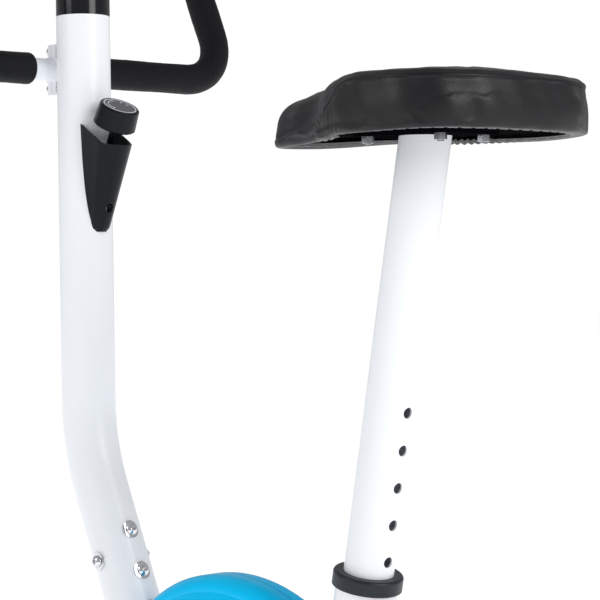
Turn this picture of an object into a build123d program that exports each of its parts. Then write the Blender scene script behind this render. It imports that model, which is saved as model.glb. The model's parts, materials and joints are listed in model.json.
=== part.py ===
from build123d import *
from math import atan2, cos, degrees, radians, sin, sqrt, tan
import os

os.makedirs("parts", exist_ok=True)

# Frame: X forward, Y to the rider's left, Z up, floor at Z = 0, millimetres.

# ---- driving dimensions ------------------------------------------------------
SEAT_X = -175.8          # mouth of the seat tube, on its axis
SEAT_Z = 430.0
SEAT_LEAN = 10.2         # degrees back from vertical
TUBE_D = 60.0            # seat tube, stub and front post
TUBE_WALL = 2.5
POST_D = 48.0            # sliding seat post
POST_WALL = 2.0
HOLE_PITCH = 36.0
HOLE_D = 10.6
HOLE_TOP = 171.7         # highest hole above the mouth, seat at rest
HOLE_COUNT = 8
PIN_T = HOLE_TOP - 6 * HOLE_PITCH    # pin height below the mouth, one hole of the row

BEND_X = SEAT_X + 451.8  # where the two straight runs of the front post meet
BEND_Z = 522.4
BEND_R = 230.0
LOWER_LEAN = 26.3        # degrees, foot towards the rear
UPPER_LEAN = 1.1         # degrees forward
LAP_T = -177.5           # bottom of the front post, measured from the bend along the stub
POST_TOP = 480.0         # upper run, from the bend to the black sleeve

BEAM_W = 50.0
BEAM_H = 40.0
BEAM_Z = 60.0
STAB_D = 50.0
STAB_Z = 30.0
STAB_FRONT_X = SEAT_X + 505.0
STAB_REAR_X = SEAT_X - 212.0
STAB_FRONT_L = 400.0
STAB_REAR_L = 440.0
CAP_D = 60.0
CAP_L = 34.0
WHEEL_OUT = 53.0         # transport wheels, ahead of the front stabilizer
WHEEL_ROLL = 20.0        # their radius

COVER_X = SEAT_X + 185.7
COVER_TOP = 411.7
COVER_LOW = 103.0
COVER_A = 191.0          # half length
COVER_HALF = 42.0        # half thickness in the middle
COVER_EDGE = 23.6        # half thickness along the rim
COVER_DISH = 54.0        # width of the sloping band inside the rim
COVER_WALL = 2.5
COVER_RIM = 15.0

CRANK_X = SEAT_X + 145.0
CRANK_Z = 222.0
CRANK_ARM = 125.0
PULLEY_R = 72.0
BELT_Y = -20.5           # middle plane of the belt
BELT_W = 9.0
WHEEL_X = SEAT_X + 205.0
WHEEL_Z = 312.0
WHEEL_R = 80.0
SMALL_R = 14.4

BAR_X = SEAT_X + 504.0
BAR_Z = 945.3
BAR_D = 25.0
GRIP_D = 35.5
BAR_HALF = 243.0         # rising ends, from the middle plane
BAR_BEND = 64.0
BAR_RISE = 104.0
BAR_LEAN = 26.0

SEAT_BASE_Z = 848.5      # underside of the cushion
SEAT_CX = SEAT_X - (SEAT_BASE_Z - SEAT_Z) * tan(radians(SEAT_LEAN))
KNOB_LEAN = 27.0
FIT = 0.05               # running fit, radial

TUBE_R = TUBE_D / 2
TUBE_IN = TUBE_R - TUBE_WALL
POST_R = POST_D / 2
COVER_B = (COVER_TOP - COVER_LOW) / 2
COVER_Z = COVER_LOW + COVER_B
BEAM_TOP = BEAM_Z + BEAM_H


def lean_plane(x, z, lean, along=0.0):
    """Plane across a tube whose axis leans by `lean` degrees (forward positive)."""
    s, c = sin(radians(lean)), cos(radians(lean))
    return Plane(origin=(x + s * along, 0, z + c * along), x_dir=(c, 0, -s), z_dir=(s, 0, c))


def seat_axis(t):
    return lean_plane(SEAT_X, SEAT_Z, -SEAT_LEAN, t)


def stub_axis(t):
    return lean_plane(BEND_X, BEND_Z, LOWER_LEAN, t)


def post_axis(t):
    return lean_plane(BEND_X, BEND_Z, UPPER_LEAN, t)


def side(y):
    """Upright plane facing left at height y; sketch x is rearward, sketch y is up."""
    return Plane(origin=(0, y, 0), x_dir=(-1, 0, 0), z_dir=(0, 1, 0))


def save(piece, name):
    piece.part.label = name
    export_step(piece.part, "parts/" + name + ".step")


# ---- base beam and stabilizers -----------------------------------------------
BEAM_FRONT = STAB_FRONT_X + 28
BEAM_REAR = STAB_REAR_X - 28
BEAM_MID = (BEAM_FRONT + BEAM_REAR) / 2
with BuildPart() as base_beam:
    with BuildSketch(Plane.YZ.offset(BEAM_REAR)) as section:
        with Locations((0, BEAM_Z + BEAM_H / 2)):
            RectangleRounded(BEAM_W, BEAM_H, 6)
    extrude(amount=BEAM_FRONT - BEAM_REAR)
    with BuildSketch(Plane.YZ.offset(BEAM_REAR + 2.5)):
        with Locations((0, BEAM_Z + BEAM_H / 2)):
            RectangleRounded(BEAM_W - 5, BEAM_H - 5, 4)
    extrude(amount=BEAM_FRONT - BEAM_REAR - 5, mode=Mode.SUBTRACT)
    # curved saddles under both ends, seated on the stabilizer tubes
    for x in (STAB_FRONT_X, STAB_REAR_X):
        with BuildSketch(side(-BEAM_W / 2)):
            with Locations((-x, (40 + BEAM_Z) / 2)):
                Rectangle(48, BEAM_Z - 40)
            with Locations((-x, STAB_Z)):
                Circle(STAB_D / 2, mode=Mode.SUBTRACT)
        extrude(amount=BEAM_W)
        for y in (-16, 16):
            with BuildSketch(Plane.XY.offset(35)):
                with Locations((x, y)):
                    Circle(4.3)
            extrude(amount=80, mode=Mode.SUBTRACT)
save(base_beam, "base_beam")


def stabilizer(x, length):
    with BuildPart() as tube:
        with BuildSketch(side(-length / 2)):
            with Locations((-x, STAB_Z)):
                Circle(STAB_D / 2)
                Circle(STAB_D / 2 - 2, mode=Mode.SUBTRACT)
        extrude(amount=length)
        with BuildSketch(Plane.XY):
            with Locations((x, -16), (x, 16)):
                Circle(4.3)
        extrude(amount=70, mode=Mode.SUBTRACT)
    return tube


stabilizer_front = stabilizer(STAB_FRONT_X, STAB_FRONT_L)
save(stabilizer_front, "stabilizer_front")
stabilizer_rear = stabilizer(STAB_REAR_X, STAB_REAR_L)
save(stabilizer_rear, "stabilizer_rear")

with BuildPart() as stabilizer_bolts:
    for x in (STAB_FRONT_X, STAB_REAR_X):
        for y in (-16, 16):
            with BuildSketch(Plane(origin=(x, y, 0), x_dir=(1, 0, 0), z_dir=(0, -1, 0))):
                with BuildLine():
                    Polyline((0, 2), (6, 2), (9, 4), (9, 5), (4, 5), (4, BEAM_TOP))
                    Polyline((4, BEAM_TOP), (10, BEAM_TOP), (10, BEAM_TOP + 1.6), (7, BEAM_TOP + 1.6))
                    Polyline((7, BEAM_TOP + 1.6), (7, BEAM_TOP + 8), (5, BEAM_TOP + 12), (0, BEAM_TOP + 13.5))
                    Line((0, BEAM_TOP + 13.5), (0, 2))
                make_face()
            revolve(axis=Axis((x, y, 0), (0, 0, 1)))
save(stabilizer_bolts, "stabilizer_bolts")


def end_cap(x, length, sign, wheel):
    """Moulded cap over a stabilizer end; front ones carry a lug for a wheel."""
    y0 = sign * (length / 2 - 26)
    with BuildPart() as cap:
        with BuildSketch(Plane(origin=(x, y0, STAB_Z), x_dir=(1, 0, 0), z_dir=(0, sign, 0))):
            Circle(CAP_D / 2)
        extrude(amount=CAP_L)
        end = cap.faces().sort_by(Axis.Y)[-1 if sign > 0 else 0]
        fillet(end.edges(), 7)
        start = cap.faces().filter_by(Axis.Y).sort_by(Axis.Y)[0 if sign > 0 else -1]
        fillet(start.edges(), 1.5)
        # flat rubber foot under the cap
        with BuildSketch(Plane.XY):
            with Locations((x, y0 + sign * 14)):
                RectangleRounded(34, 20, 4)
        extrude(amount=8)
        if wheel:
            y1 = y0 + sign * 4
            lug = [(0, 24), (30, 20), (WHEEL_OUT + 6, 8), (WHEEL_OUT + 6, -8), (24, -16), (0, -20), (0, 24)]
            with BuildSketch(Plane(origin=(x, y1, STAB_Z), x_dir=(1, 0, 0), z_dir=(0, sign, 0))):
                with BuildLine():
                    Polyline(*[(u, -sign * v) for u, v in lug])
                make_face()
            extrude(amount=6)
            at = (x + WHEEL_OUT, y1, STAB_Z)
            with BuildSketch(Plane(origin=at, x_dir=(1, 0, 0), z_dir=(0, sign, 0))):
                Circle(5)
            extrude(amount=27)
            with BuildSketch(Plane(origin=at, x_dir=(1, 0, 0), z_dir=(0, sign, 0)).offset(26)):
                Circle(8)
            extrude(amount=2.5)
        with BuildSketch(Plane(origin=(x, y0, STAB_Z), x_dir=(1, 0, 0), z_dir=(0, sign, 0))):
            Circle(STAB_D / 2)
        extrude(amount=26, mode=Mode.SUBTRACT)
    return cap


cap_front_left = end_cap(STAB_FRONT_X, STAB_FRONT_L, 1, True)
save(cap_front_left, "cap_front_left")
cap_front_right = end_cap(STAB_FRONT_X, STAB_FRONT_L, -1, True)
save(cap_front_right, "cap_front_right")
cap_rear_left = end_cap(STAB_REAR_X, STAB_REAR_L, 1, False)
save(cap_rear_left, "cap_rear_left")
cap_rear_right = end_cap(STAB_REAR_X, STAB_REAR_L, -1, False)
save(cap_rear_right, "cap_rear_right")


def transport_wheel(sign):
    y = sign * (STAB_FRONT_L / 2 - 26 + 10.8)
    hub = Plane(origin=(STAB_FRONT_X + WHEEL_OUT, y, STAB_Z), x_dir=(1, 0, 0), z_dir=(0, sign, 0))
    with BuildPart() as wheel:
        with BuildSketch(hub):
            Circle(WHEEL_ROLL)
            Circle(5 + FIT, mode=Mode.SUBTRACT)
        extrude(amount=18)
        fillet(wheel.edges().filter_by(GeomType.CIRCLE).filter_by(lambda e: e.radius > 18), 3)
        with BuildSketch(hub.offset(12)):
            Circle(15)
            Circle(9.5, mode=Mode.SUBTRACT)
        extrude(amount=8, mode=Mode.SUBTRACT)
    return wheel


wheel_left = transport_wheel(1)
save(wheel_left, "wheel_left")
wheel_right = transport_wheel(-1)
save(wheel_right, "wheel_right")

# ---- seat tube with bushing and knob boss --------------------------------------
PIN_PLANE = Plane(origin=seat_axis(PIN_T).origin, x_dir=(0, 1, 0), z_dir=-seat_axis(0).x_dir)
with BuildPart() as seat_tube:
    with BuildSketch(seat_axis(-400)):
        Circle(TUBE_R)
    extrude(amount=400)
    with BuildSketch(PIN_PLANE.offset(TUBE_R - 4)):
        Circle(13)
    extrude(amount=16)
    with BuildSketch(seat_axis(-400)):
        Circle(TUBE_IN)
    extrude(amount=400, mode=Mode.SUBTRACT)
    with BuildSketch(PIN_PLANE.offset(TUBE_IN - 3)):
        Circle(8.2)
    extrude(amount=30, mode=Mode.SUBTRACT)
    split(bisect_by=Plane.XY.offset(BEAM_TOP), keep=Keep.TOP)
save(seat_tube, "seat_tube")

with BuildPart() as seat_bushing:
    with BuildSketch(Plane(origin=seat_axis(0).origin, x_dir=seat_axis(0).x_dir, z_dir=(0, -1, 0))):
        with BuildLine():
            Polyline((POST_R + FIT, 11.5), (POST_R + FIT, -30), (TUBE_IN, -30), (TUBE_IN, 0), (TUBE_R + 0.2, 0))
            Polyline((TUBE_R + 0.2, 0), (TUBE_R + 0.2, -3), (33.6, -3), (33.6, 8.5))
            RadiusArc((33.6, 8.5), (30.6, 11.5), -3)
            Line((30.6, 11.5), (POST_R + FIT, 11.5))
        make_face()
    revolve(axis=Axis(seat_axis(0).origin, seat_axis(0).z_dir))
save(seat_bushing, "seat_bushing")

# ---- seat post, bracket, pan, cushion -------------------------------------------
POST_BOTTOM = HOLE_TOP - (HOLE_COUNT - 1) * HOLE_PITCH - 28
with BuildPart() as seat_post:
    with BuildSketch(seat_axis(POST_BOTTOM)):
        Circle(POST_R)
    extrude(amount=620)
    with BuildSketch(seat_axis(POST_BOTTOM)):
        Circle(POST_R - POST_WALL)
    extrude(amount=620, mode=Mode.SUBTRACT)
    for index in range(HOLE_COUNT):
        at = seat_axis(HOLE_TOP - index * HOLE_PITCH)
        with BuildSketch(Plane(origin=at.origin, x_dir=(0, 1, 0), z_dir=-at.x_dir)):
            Circle(HOLE_D / 2)
        extrude(amount=POST_R + 5, mode=Mode.SUBTRACT)
    split(bisect_by=Plane.XY.offset(SEAT_BASE_Z), keep=Keep.BOTTOM)
save(seat_post, "seat_post")

with BuildPart() as seat_bracket:
    with BuildSketch(Plane.XY.offset(SEAT_BASE_Z)):
        with Locations((SEAT_CX, 0)):
            RectangleRounded(120, 76, 8)
    extrude(amount=4)
    with BuildSketch(seat_axis(380)):
        Circle(POST_R - POST_WALL)
        Circle(POST_R - POST_WALL - 3, mode=Mode.SUBTRACT)
    extrude(amount=60)
    with BuildSketch(Plane.XY.offset(SEAT_BASE_Z + 4)):
        with Locations((SEAT_CX, 0)):
            Rectangle(200, 200)
    extrude(amount=100, mode=Mode.SUBTRACT)
    with BuildSketch(Plane.XY.offset(SEAT_BASE_Z)):
        with Locations((SEAT_CX - 46, -28), (SEAT_CX - 46, 28), (SEAT_CX + 46, -28), (SEAT_CX + 46, 28)):
            Circle(3.3)
    extrude(amount=4, mode=Mode.SUBTRACT)
save(seat_bracket, "seat_bracket")


def seat_outline(grow):
    """Plan of the saddle: wide rear, waisted, rounded nose; grow moves it outwards."""
    g = grow
    right = [(-134 - g, 0), (-126 - g, -64), (-96 - g * 0.6, -108 - g * 0.7), (-30, -120 - g), (38 + g, -98 - g),
             (86, -54 - g), (146, -36 - g), (180 + g * 0.6, -24 - g * 0.6), (194 + g, 0)]
    left = [(x, -y) for x, y in reversed(right[1:-1])]
    return [(SEAT_CX + x, y) for x, y in right + left]


with BuildPart() as seat_pan:
    with BuildSketch(Plane.XY.offset(SEAT_BASE_Z + 4)):
        with BuildLine():
            Spline(*seat_outline(-9), periodic=True)
        make_face()
    extrude(amount=9)
    with BuildSketch(Plane.XY.offset(SEAT_BASE_Z + 4)):
        with Locations((SEAT_CX - 46, -28), (SEAT_CX - 46, 28), (SEAT_CX + 46, -28), (SEAT_CX + 46, 28)):
            Circle(3.3)
    extrude(amount=9, mode=Mode.SUBTRACT)
save(seat_pan, "seat_pan")

with BuildPart() as seat_cushion:
    with BuildSketch(Plane.XY.offset(SEAT_BASE_Z - 1)):
        with BuildLine():
            Spline(*seat_outline(0), periodic=True)
        make_face()
    extrude(amount=62)
    fillet(seat_cushion.faces().sort_by(Axis.Z)[-1].edges(), 14)
    # the nose falls away forwards
    with BuildSketch(Plane(origin=(0, -160, 0), x_dir=(1, 0, 0), z_dir=(0, -1, 0)).offset(-320)):
        with BuildLine():
            Polyline((SEAT_CX + 60, SEAT_BASE_Z + 61), (SEAT_CX + 215, SEAT_BASE_Z + 38))
            Polyline((SEAT_CX + 215, SEAT_BASE_Z + 38), (SEAT_CX + 215, SEAT_BASE_Z + 90))
            Polyline((SEAT_CX + 215, SEAT_BASE_Z + 90), (SEAT_CX + 60, SEAT_BASE_Z + 61))
        make_face()
    extrude(amount=320, mode=Mode.SUBTRACT)
    # hollow below for the pan
    with BuildSketch(Plane.XY.offset(SEAT_BASE_Z - 1)):
        with BuildLine():
            Spline(*seat_outline(-9), periodic=True)
        make_face()
    extrude(amount=14, mode=Mode.SUBTRACT)
    with BuildSketch(Plane.XY.offset(SEAT_BASE_Z + 13)):
        with Locations((SEAT_CX - 46, -28), (SEAT_CX - 46, 28), (SEAT_CX + 46, -28), (SEAT_CX + 46, 28)):
            Circle(9)
    extrude(amount=8, mode=Mode.SUBTRACT)
save(seat_cushion, "seat_cushion")

with BuildPart() as seat_nuts:
    for x in (SEAT_CX - 46, SEAT_CX + 46):
        for y in (-28, 28):
            with BuildSketch(Plane.XY.offset(SEAT_BASE_Z - 7.5)):
                with Locations((x, y)):
                    Circle(3)
            extrude(amount=23)
            with BuildSketch(Plane.XY.offset(SEAT_BASE_Z - 6)):
                with Locations((x, y)):
                    RegularPolygon(6, 6)
            extrude(amount=6)
            with BuildSketch(Plane.XY.offset(SEAT_BASE_Z + 13)):
                with Locations((x, y)):
                    Circle(8)
            extrude(amount=2.5)
save(seat_nuts, "seat_nuts")

# ---- seat height knob ------------------------------------------------------------
KNOB_BACK = TUBE_R + 22          # face of the knob, backed off, from the tube axis
with BuildPart() as seat_knob:
    with BuildSketch(PIN_PLANE.offset(KNOB_BACK)):
        Circle(20)
        with PolarLocations(21.5, 6):
            Circle(6)
    extrude(amount=24)
    fillet(seat_knob.faces().sort_by(Axis(PIN_PLANE.origin, PIN_PLANE.z_dir))[-1].edges(), 2.5)
    with BuildSketch(PIN_PLANE.offset(KNOB_BACK - 4)):
        Circle(14)
    extrude(amount=4)
save(seat_knob, "seat_knob")

with BuildPart() as seat_pin:
    with BuildSketch(PIN_PLANE.offset(POST_R + 1.5)):
        Circle(4.8)
    extrude(amount=KNOB_BACK - 4 - POST_R - 1.5)
    with BuildSketch(PIN_PLANE.offset(TUBE_R + 1)):
        Circle(8.1)
    extrude(amount=KNOB_BACK - 4 - TUBE_R - 1)
save(seat_pin, "seat_pin")

# ---- front stub with its inner sleeve ---------------------------------------------
BOLT_T = (LAP_T + 66, LAP_T + 19, LAP_T + 43)      # rear upper, rear lower, both sides


def bolt_planes():
    """Planes on the post surface, facing outwards, one per bolt."""
    rear_dir = -stub_axis(0).x_dir
    return [
        Plane(origin=stub_axis(BOLT_T[0]).origin, x_dir=(0, 1, 0), z_dir=rear_dir),
        Plane(origin=stub_axis(BOLT_T[1]).origin, x_dir=(0, 1, 0), z_dir=rear_dir),
        Plane(origin=stub_axis(BOLT_T[2]).origin, x_dir=stub_axis(0).z_dir, z_dir=(0, 1, 0)),
        Plane(origin=stub_axis(BOLT_T[2]).origin, x_dir=stub_axis(0).z_dir, z_dir=(0, -1, 0)),
    ]


# brake line: tangent to the flywheel from the point where the cable leaves the stub
EXIT_T = -232.0
CABLE_Y = 7.0
GAP = 0.35
BAND_R = WHEEL_R + GAP
BAND_T = 3.0
HUB = Vector(WHEEL_X, 0, WHEEL_Z)
EXIT = stub_axis(EXIT_T).origin - stub_axis(EXIT_T).x_dir * (TUBE_R - 1)
PULL_SPAN = sqrt((EXIT - HUB).length ** 2 - (BAND_R + BAND_T / 2) ** 2)
PULL_ANGLE = atan2((HUB - EXIT).Z, (HUB - EXIT).X) + atan2(BAND_R + BAND_T / 2, PULL_SPAN)
PULL = Vector(cos(PULL_ANGLE), 0, sin(PULL_ANGLE))
TOUCH = EXIT + PULL * PULL_SPAN

with BuildPart() as front_stub:
    with BuildSketch(stub_axis(LAP_T - 340)):
        Circle(TUBE_R)
    extrude(amount=340)
    with BuildSketch(stub_axis(LAP_T - 50)):
        Circle(TUBE_IN)
    extrude(amount=135)
    with BuildSketch(stub_axis(LAP_T - 340)):
        Circle(TUBE_IN)
    extrude(amount=290, mode=Mode.SUBTRACT)
    with BuildSketch(stub_axis(LAP_T - 60)):
        Circle(TUBE_IN - 3)
    extrude(amount=150, mode=Mode.SUBTRACT)
    # long slot in the rear wall where the tension cable comes out to the brake
    mouth = EXIT - stub_axis(0).z_dir * 2
    with BuildSketch(Plane(origin=mouth, x_dir=stub_axis(0).z_dir, z_dir=-stub_axis(0).x_dir)):
        SlotOverall(84, 24)
    extrude(amount=12, both=True, mode=Mode.SUBTRACT)
    for at in bolt_planes():
        with BuildSketch(at.offset(TUBE_IN - 10)):
            Circle(4.3)
        extrude(amount=12, mode=Mode.SUBTRACT)
    split(bisect_by=Plane.XY.offset(BEAM_TOP), keep=Keep.TOP)
save(front_stub, "front_stub")

# ---- front post ---------------------------------------------------------------------
HOUSE_T0 = 766.0         # tension housing, lowest height
HOUSE_T1 = 887.0         # tension housing, highest height
HOUSE_SCREW = 788.0      # height of its screw
CABLE_Z = 812.0                  # middle of the slot the cable goes in by
start = stub_axis(LAP_T).origin
corner = Vector(BEND_X, 0, BEND_Z)
finish = post_axis(POST_TOP).origin
with BuildPart() as front_post:
    with BuildLine() as route:
        FilletPolyline(start, corner, finish, radius=BEND_R)
    with BuildSketch(stub_axis(LAP_T)):
        Circle(TUBE_R)
        Circle(TUBE_IN, mode=Mode.SUBTRACT)
    sweep(path=route.wires()[0])
    for at in bolt_planes():
        with BuildSketch(at.offset(TUBE_IN - 10)):
            Circle(4.3)
        extrude(amount=20, mode=Mode.SUBTRACT)
    # slot in the rear wall where the tension cable goes in
    with BuildSketch(Plane.YZ.offset(BEND_X - 60)):
        with Locations((0, CABLE_Z)):
            SlotOverall(50, 22, rotation=90)
    extrude(amount=50, mode=Mode.SUBTRACT)
    with BuildSketch(Plane.YZ.offset(BEND_X - 60)):
        with Locations((0, HOUSE_SCREW)):
            Circle(1.85)
    extrude(amount=50, mode=Mode.SUBTRACT)
save(front_post, "front_post")

with BuildPart() as post_washers:
    for at in bolt_planes():
        with BuildSketch(at.offset(TUBE_IN)):
            Circle(10)
            Circle(4.3, mode=Mode.SUBTRACT)
        extrude(amount=6)
    with BuildSketch(stub_axis(LAP_T - 5)):
        Circle(TUBE_R)
    extrude(amount=120, mode=Mode.SUBTRACT)
    with BuildSketch(stub_axis(LAP_T - 5)):
        Circle(TUBE_R + 20)
        Circle(TUBE_R + 2.2, mode=Mode.SUBTRACT)
    extrude(amount=120, mode=Mode.SUBTRACT)
save(post_washers, "post_washers")

with BuildPart() as post_bolts:
    for at in bolt_planes():
        with BuildSketch(at.offset(TUBE_IN - 9)):
            Circle(4)
        extrude(amount=TUBE_R + 2.2 - TUBE_IN + 9)
        head = Plane(origin=at.origin + at.z_dir * (TUBE_R + 2.2), x_dir=at.x_dir, z_dir=-at.y_dir)
        with BuildSketch(head):
            with BuildLine():
                Polyline((0, 0), (6.8, 0), (6.8, 1.2))
                RadiusArc((6.8, 1.2), (3.2, 4.6), -6.2)
                Polyline((3.2, 4.6), (0, 4.6), (0, 0))
            make_face()
        revolve(axis=Axis(at.origin, at.z_dir))
        with BuildSketch(at.offset(TUBE_R + 2.2 + 1.8)):
            RegularPolygon(2.9, 6)
        extrude(amount=4, mode=Mode.SUBTRACT)
save(post_bolts, "post_bolts")

with BuildPart() as top_sleeve:
    with BuildSketch(post_axis(POST_TOP)):
        Circle(TUBE_R)
    extrude(amount=40)
    with BuildSketch(post_axis(POST_TOP - 40)):
        Circle(TUBE_IN)
    extrude(amount=40)
    with BuildSketch(post_axis(POST_TOP - 40)):
        Circle(TUBE_IN - 3)
    extrude(amount=80, mode=Mode.SUBTRACT)
save(top_sleeve, "top_sleeve")

# ---- bottom bracket ------------------------------------------------------------------
CRANK_AXIS = Axis((CRANK_X, 0, CRANK_Z), (0, 1, 0))
with BuildPart() as bottom_bracket:
    with BuildSketch(side(-12)):
        with Locations((-CRANK_X, CRANK_Z)):
            Circle(20)
    extrude(amount=42)
    with BuildSketch(Plane.XY.offset(BEAM_TOP)):
        with Locations((CRANK_X, 9)):
            Rectangle(34, 30)
            Rectangle(29, 25, mode=Mode.SUBTRACT)
    extrude(amount=CRANK_Z - BEAM_TOP - 17)
    with BuildSketch(side(-12)):
        with Locations((-CRANK_X, CRANK_Z)):
            Circle(16)
    extrude(amount=42, mode=Mode.SUBTRACT)
save(bottom_bracket, "bottom_bracket")

with BuildPart() as bearings:
    for y in (-12, 21):
        with BuildSketch(side(y)):
            with Locations((-CRANK_X, CRANK_Z)):
                Circle(16)
                Circle(8.5 + FIT, mode=Mode.SUBTRACT)
        extrude(amount=9)
save(bearings, "bearings")

# fixed end of the brake band, straight on from the front of the wheel
ANCHOR_TURN = radians(30)
ANCHOR = HUB + Vector(cos(ANCHOR_TURN), 0, sin(ANCHOR_TURN)) * (BAND_R + BAND_T / 2)
ANCHOR = ANCHOR + Vector(sin(ANCHOR_TURN), 0, -cos(ANCHOR_TURN)) * 34

# ---- flywheel brackets and fixed axle ---------------------------------------------------
with BuildPart() as flywheel_brackets:
    for y in (-31, 28):
        with BuildSketch(side(y)):
            with BuildLine():
                Polyline((-WHEEL_X, WHEEL_Z - 16), (-WHEEL_X - 113, WHEEL_Z - 57), (-WHEEL_X - 125, WHEEL_Z - 50),
                         (-WHEEL_X - 126, WHEEL_Z - 28), (-WHEEL_X - 99, WHEEL_Z + 13))
                Polyline((-WHEEL_X - 99, WHEEL_Z + 13), (-WHEEL_X - 79, WHEEL_Z + 21), (-WHEEL_X, WHEEL_Z + 16),
                         (-WHEEL_X, WHEEL_Z - 16))
            make_face()
            with Locations((-WHEEL_X, WHEEL_Z)):
                Circle(16)
                Circle(5, mode=Mode.SUBTRACT)
        extrude(amount=3)
    with BuildSketch(stub_axis(LAP_T - 300)):
        Circle(TUBE_R)
    extrude(amount=300, mode=Mode.SUBTRACT)
    # cross pin that holds the fixed end of the brake band
    with BuildSketch(side(-30)):
        with Locations((-ANCHOR.X, ANCHOR.Z)):
            Circle(4)
    extrude(amount=60)
save(flywheel_brackets, "flywheel_brackets")

with BuildPart() as flywheel_axle:
    with BuildSketch(side(-37.5)):
        with Locations((-WHEEL_X, WHEEL_Z)):
            Circle(5)
    extrude(amount=75)
    for y in (-36.5, 31):
        with BuildSketch(side(y)):
            with Locations((-WHEEL_X, WHEEL_Z)):
                RegularPolygon(8, 6)
        extrude(amount=5.5)
    for y in (-28, 15.5):
        with BuildSketch(side(y)):
            with Locations((-WHEEL_X, WHEEL_Z)):
                Circle(7.5)
        extrude(amount=1.5 if y < 0 else 12.5)
save(flywheel_axle, "flywheel_axle")

with BuildPart() as flywheel:
    with BuildSketch(side(-11)):
        with Locations((-WHEEL_X, WHEEL_Z)):
            Circle(WHEEL_R)
    extrude(amount=24)
    for y, deep in ((-11, 8), (5, 8)):
        with BuildSketch(side(y)):
            with Locations((-WHEEL_X, WHEEL_Z)):
                Circle(WHEEL_R - 16)
                Circle(24, mode=Mode.SUBTRACT)
        extrude(amount=deep, mode=Mode.SUBTRACT)
    with BuildSketch(side(-11)):
        with Locations((-WHEEL_X, WHEEL_Z)):
            with PolarLocations(47, 5):
                Circle(13)
    extrude(amount=24, mode=Mode.SUBTRACT)
    with BuildSketch(side(-11)):
        with Locations((-WHEEL_X, WHEEL_Z)):
            Circle(14)
    extrude(amount=26)
    with BuildSketch(side(-12)):
        with Locations((-WHEEL_X, WHEEL_Z)):
            Circle(5 + FIT)
    extrude(amount=30, mode=Mode.SUBTRACT)
save(flywheel, "flywheel")

with BuildPart() as flywheel_pulley:
    with BuildSketch(side(-26)):
        with Locations((-WHEEL_X, WHEEL_Z)):
            Circle(SMALL_R)
            Circle(5 + FIT, mode=Mode.SUBTRACT)
    extrude(amount=15)
    for y in (-26, -15):
        with BuildSketch(side(y)):
            with Locations((-WHEEL_X, WHEEL_Z)):
                Circle(SMALL_R + 3)
                Circle(SMALL_R - 1, mode=Mode.SUBTRACT)
        extrude(amount=0.8)
save(flywheel_pulley, "flywheel_pulley")

# ---- crank ---------------------------------------------------------------------------------
with BuildPart() as crank_axle:
    with BuildSketch(side(-76)):
        with Locations((-CRANK_X, CRANK_Z)):
            Circle(8.5)
    extrude(amount=152)
save(crank_axle, "crank_axle")

with BuildPart() as crank_pulley:
    with BuildSketch(side(BELT_Y - 5.5)):
        with Locations((-CRANK_X, CRANK_Z)):
            Circle(PULLEY_R)
    extrude(amount=11)
    for y, deep in ((BELT_Y - 5.5, 3.5), (BELT_Y + 2, 3.5)):
        with BuildSketch(side(y)):
            with Locations((-CRANK_X, CRANK_Z)):
                Circle(PULLEY_R - 8)
                Circle(18, mode=Mode.SUBTRACT)
        extrude(amount=deep, mode=Mode.SUBTRACT)
    with BuildSketch(side(BELT_Y - 5.5)):
        with Locations((-CRANK_X, CRANK_Z)):
            with PolarLocations(43, 6):
                Circle(14)
            Circle(8.5)
    extrude(amount=11, mode=Mode.SUBTRACT)
save(crank_pulley, "crank_pulley")


def crank_arm(sign, lean):
    """Forged arm from the axle to the pedal; lean is the angle of the arm from straight down."""
    tip = (-CRANK_X - CRANK_ARM * sin(radians(lean)), CRANK_Z - CRANK_ARM * cos(radians(lean)))
    hub = (-CRANK_X, CRANK_Z)
    ux, uz = (tip[0] - hub[0]) / CRANK_ARM, (tip[1] - hub[1]) / CRANK_ARM
    with BuildPart() as arm:
        with BuildSketch(side(53 if sign > 0 else -67)):
            with BuildLine():
                Polyline((hub[0] - uz * 13, hub[1] + ux * 13), (tip[0] - uz * 10, tip[1] + ux * 10),
                         (tip[0] + uz * 10, tip[1] - ux * 10), (hub[0] + uz * 13, hub[1] - ux * 13),
                         (hub[0] - uz * 13, hub[1] + ux * 13))
            make_face()
            with Locations(hub):
                Circle(17)
            with Locations(tip):
                Circle(13)
        extrude(amount=14)
        fillet(arm.faces().sort_by(Axis.Y)[-1 if sign > 0 else 0].edges(), 2.2)
        with BuildSketch(side(47 if sign > 0 else -53)):
            with Locations(hub):
                Circle(15)
        extrude(amount=6)
        with BuildSketch(side(-90)):
            with Locations(hub):
                Circle(8.5)
            with Locations(tip):
                Circle(6)
        extrude(amount=180, mode=Mode.SUBTRACT)
    return arm


ARM_LEAN = 62.0                  # left arm forward and down, right arm opposite
crank_arm_left = crank_arm(1, ARM_LEAN)
save(crank_arm_left, "crank_arm_left")
crank_arm_right = crank_arm(-1, ARM_LEAN + 180)
save(crank_arm_right, "crank_arm_right")

with BuildPart() as crank_nuts:
    for sign in (1, -1):
        with BuildSketch(Plane(origin=(CRANK_X, sign * 67, CRANK_Z), x_dir=(1, 0, 0), z_dir=(0, sign, 0))):
            Circle(11)
            Circle(8.5, mode=Mode.SUBTRACT)
        extrude(amount=9)
        with BuildSketch(Plane(origin=(CRANK_X, sign * 76, CRANK_Z), x_dir=(1, 0, 0), z_dir=(0, sign, 0))):
            Circle(11)
        extrude(amount=2.5)
save(crank_nuts, "crank_nuts")

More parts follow.
